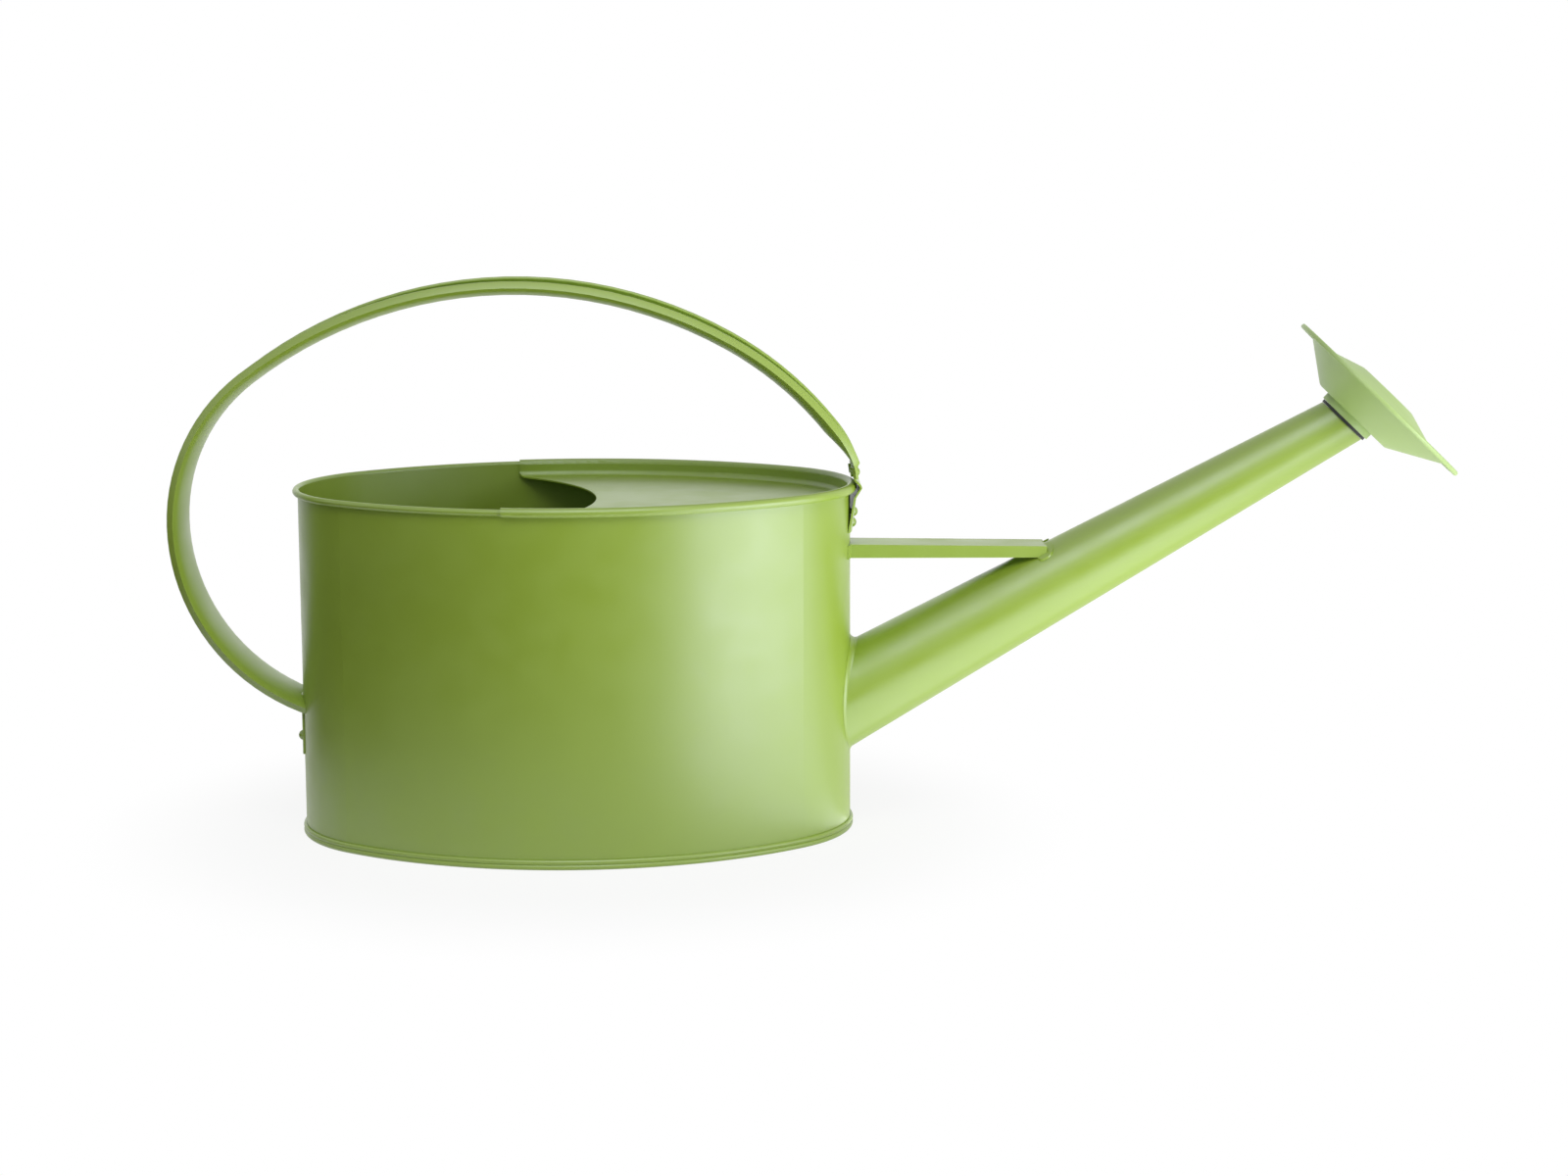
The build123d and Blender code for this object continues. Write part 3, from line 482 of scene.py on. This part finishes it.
# %% Skin group
def new_group(name, inputs, outputs):
    """Starts a shader node group and returns it with its entry and its exit."""
    group = bpy.data.node_groups.new(name, "ShaderNodeTree")
    for label, kind, value in inputs:
        socket = group.interface.new_socket(label, in_out="INPUT", socket_type="NodeSocket" + kind)
        socket.default_value = value
    for label, kind in outputs:
        group.interface.new_socket(label, in_out="OUTPUT", socket_type="NodeSocket" + kind)
    return group, group.nodes.new("NodeGroupInput").outputs, group.nodes.new("NodeGroupOutput")


def add_noise(tree, scale, detail):
    """Adds a noise with so many cells to a metre of the piece and returns its value."""
    place = add_node(tree, "TexCoord").outputs["Object"]
    return add_node(tree, "TexNoise", {"Vector": place, "Scale": scale, "Detail": detail}).outputs[0]


PEEL, FINE_PEEL, WAVE, SPECK = 520.0, 1900.0, 26.0, 62.0  # cells to a metre
FINE_HEIGHT, SPECK_HEIGHT = 0.25, 1.5  # against the peel
SPECK_CORE, SPECK_EDGE = 0.02, 0.045  # shares of a cell
CLEAN_SHARE = 0.86  # cells without a speck

skin, entry, exit_ = new_group(
    "sprayed_skin", [("Peel", "Float", 1.0), ("Waves", "Float", 1.0)], [("Height", "Float")]
)
peel = add_noise(skin, PEEL, 2.0)
fine = add_noise(skin, FINE_PEEL, 1.0)
wave = add_noise(skin, WAVE, 1.0)
place = add_node(skin, "TexCoord").outputs["Object"]
speck = add_node(skin, "TexVoronoi", {"Vector": place, "Scale": SPECK, "Randomness": 1.0}).outputs
speck_core = add_range(skin, speck["Distance"], SPECK_CORE, SPECK_EDGE, 1.0, 0.0)
speck_pick = add_node(skin, "SeparateColor", {0: speck["Color"]}).outputs["Red"]
specks = add_math(skin, "MULTIPLY", speck_core, add_math(skin, "GREATER_THAN", speck_pick, CLEAN_SHARE))
height = add_math(skin, "MULTIPLY", peel, entry["Peel"])
height = add_math(skin, "MULTIPLY_ADD", fine, FINE_HEIGHT, height)
height = add_math(skin, "MULTIPLY_ADD", wave, entry["Waves"], height)
height = add_math(skin, "MULTIPLY_ADD", specks, SPECK_HEIGHT, height)
feed(skin, exit_, {"Height": height})
print("group:", skin.name)

# %% [markdown]
# ## Colour drift, rubbed edges and painted edge highlights
# One coat is never one colour: it is a little yellower where it is thick and greyer where it is thin, and it rubs
# through first on folds and cut edges. Those folds and edges are also painted lighter, as a painted highlight for the
# bright lines that light draws along them. A Bevel node finds those edges, because its rounded normal leaves the true
# one there. Drift, rub and painted edge highlight are one group that takes the coat's colours and puts out the colour
# and the roughness.

# %% Colour group
CLOUD, SMEAR = 9.0, 55.0  # noise cells to a metre
THIN_FROM, THIN_FULL = 0.42, 0.72  # values of the cloud
RUB_AND_HIGHLIGHT_FROM, RUB_AND_HIGHLIGHT_FULL = 0.42, 0.66  # values of the smear
SATIN_AT, HAZY_AT = 0.3, 0.7  # values of the smear
SATIN, HAZY = 0.23, 0.30  # roughness there
EDGE_RADIUS, EDGE_SAMPLES = 0.0005, 8
EDGE_FROM, EDGE_FULL = 0.90, 0.65  # agreement of the two normals

coat_group, entry, exit_ = new_group(
    "coat_colour",
    [(label, "Color", WHITE) for label in ("Coat", "Thin", "Rubbed_and_highlit")] + [("Rub_and_highlight", "Float", 0.5), ("Dull", "Float", 0.0)],
    [("Color", "Color"), ("Roughness", "Float")],
)
cloud = add_noise(coat_group, CLOUD, 3.0)
smear = add_noise(coat_group, SMEAR, 4.0)
thin = add_range(coat_group, cloud, THIN_FROM, THIN_FULL)
colour = add_mix(coat_group, thin, entry["Coat"], entry["Thin"])
rounded = add_node(coat_group, "Bevel", {"Radius": EDGE_RADIUS}, samples=EDGE_SAMPLES).outputs[0]
true = add_node(coat_group, "NewGeometry").outputs["Normal"]
agree = add_node(coat_group, "VectorMath", {0: rounded, 1: true}, operation="DOT_PRODUCT").outputs["Value"]
edge = add_range(coat_group, agree, EDGE_FROM, EDGE_FULL)
# painted highlight and wear in one: folds and cut edges take the lighter third colour
rubbed_and_highlit_edges = add_math(coat_group, "MULTIPLY", edge, add_range(coat_group, smear, RUB_AND_HIGHLIGHT_FROM, RUB_AND_HIGHLIGHT_FULL))
rubbed_and_highlit_edges = add_math(coat_group, "MULTIPLY", rubbed_and_highlit_edges, entry["Rub_and_highlight"])
colour = add_mix(coat_group, rubbed_and_highlit_edges, colour, entry["Rubbed_and_highlit"])
gloss = add_range(coat_group, smear, SATIN_AT, HAZY_AT, SATIN, HAZY)
feed(coat_group, exit_, {"Color": colour, "Roughness": add_math(coat_group, "ADD", gloss, entry["Dull"])})
print("group:", coat_group.name)

# %% [markdown]
# ## Green paint
# The can is a fresh yellow green, satin rather than glossy: the softbox is a soft band with no hard edge. The rose
# was sprayed apart from the can and is a paler, duller green. Hands have dulled the coat on the handle strap, so it
# has the can's green with a rougher surface. All three paints are the same two groups with their own values.

# %% Paints
PAINT_IOR = 1.9
SHINE = (0.82, 0.83, 1.0, 1)  # the softboxes reflect a little bluish
SKIN_STRENGTH, SKIN_DEPTH = 0.35, 0.00004
# the third colour of each paint stands for rubbed edges and a painted edge highlight together
CAN_COLOURS = {
    "Coat": (0.303, 0.434, 0.036, 1), "Thin": (0.299, 0.426, 0.040, 1), "Rubbed_and_highlit": (0.42, 0.5, 0.2, 1),
}
ROSE_COLOURS = {
    "Coat": (0.438, 0.605, 0.178, 1), "Thin": (0.428, 0.585, 0.183, 1), "Rubbed_and_highlit": (0.5, 0.62, 0.3, 1),
}


def paint(name, colours, rub, dull, peel, waves):
    """A sprayed coat made of the skin and colour groups."""
    material, tree, shader = new_material(name)
    coat = add_node(tree, "Group", node_tree=coat_group)
    feed(tree, coat, colours | {"Rub_and_highlight": rub, "Dull": dull})
    surface = add_node(tree, "Group", node_tree=skin)
    feed(tree, surface, {"Peel": peel, "Waves": waves})
    bump = {"Height": surface.outputs["Height"], "Strength": SKIN_STRENGTH, "Distance": SKIN_DEPTH}
    feed(tree, shader, {"IOR": PAINT_IOR, "Specular Tint": SHINE, "Normal": add_node(tree, "Bump", bump).outputs[0]})
    feed(tree, shader, {"Base Color": coat.outputs["Color"], "Roughness": coat.outputs["Roughness"]})
    return material


finishes = {
    "green_paint": paint("can_green", CAN_COLOURS, rub=0.5, dull=0.11, peel=1.0, waves=3.0),
    "rose_paint": paint("rose_green", ROSE_COLOURS, rub=0.5, dull=0.22, peel=1.0, waves=3.0),
}
strap_green = paint("strap_green", CAN_COLOURS, rub=0.35, dull=0.16, peel=0.6, waves=1.0)
print("paints:", list(finishes), "and", strap_green.name)

# %% [markdown]
# ## Rubber ring and rim wire
# The ring under the rose is matt black rubber with a dusty bloom. The wire inside the rolled rim is bare drawn
# steel, and only shows through gaps. Each is a small material of its own with noise in its colour and roughness.

# %% Rubber and steel
BLOOM, DRAW_MARKS = 240.0, 700.0  # noise cells to a metre
BLOOM_FROM, BLOOM_FULL = 0.4, 0.7
BLACK, DUSTY = (0.016, 0.018, 0.016, 1), (0.05, 0.055, 0.05, 1)
BLOOM_STRENGTH, BLOOM_DEPTH = 0.3, 0.00005
STEEL_DARK, STEEL_LIGHT = (0.42, 0.42, 0.42, 1), (0.58, 0.57, 0.55, 1)
NOISE_LOW, NOISE_HIGH = 0.3, 0.7  # between which the roughness changes
RUBBER_ROUGHNESS, STEEL_ROUGHNESS = (0.55, 0.75), (0.3, 0.5)

rubber, tree, shader = new_material("seal_rubber")
bloom = add_noise(tree, BLOOM, 4.0)
bump = {"Height": bloom, "Strength": BLOOM_STRENGTH, "Distance": BLOOM_DEPTH}
feed(tree, shader, {
    "Base Color": add_mix(tree, add_range(tree, bloom, BLOOM_FROM, BLOOM_FULL), BLACK, DUSTY),
    "Roughness": add_range(tree, bloom, NOISE_LOW, NOISE_HIGH, *RUBBER_ROUGHNESS),
    "Normal": add_node(tree, "Bump", bump).outputs[0],
})
finishes["seal_rubber"] = rubber

steel, tree, shader = new_material("bare_steel")
marks = add_noise(tree, DRAW_MARKS, 3.0)
feed(tree, shader, {
    "Base Color": add_mix(tree, marks, STEEL_DARK, STEEL_LIGHT),
    "Roughness": add_range(tree, marks, NOISE_LOW, NOISE_HIGH, *STEEL_ROUGHNESS),
    "Metallic": 1.0,
})
finishes["bare_steel"] = steel
print("finishes:", list(finishes))

# %% [markdown]
# ## Dress the can
# Each piece of the model already names the finish it takes, so this step walks over the pieces and puts the finished
# material in place of the plain one of the same name. The strap takes its own paint.

# %% Assign
for piece in nodes.values():
    for holder in piece.material_slots:
        slot = holder.material.name.split(".")[0]
        holder.material = finishes[slot]
strap.data.materials.clear()
strap.data.materials.append(strap_green)
print("dressed", len(nodes), "pieces and the strap")
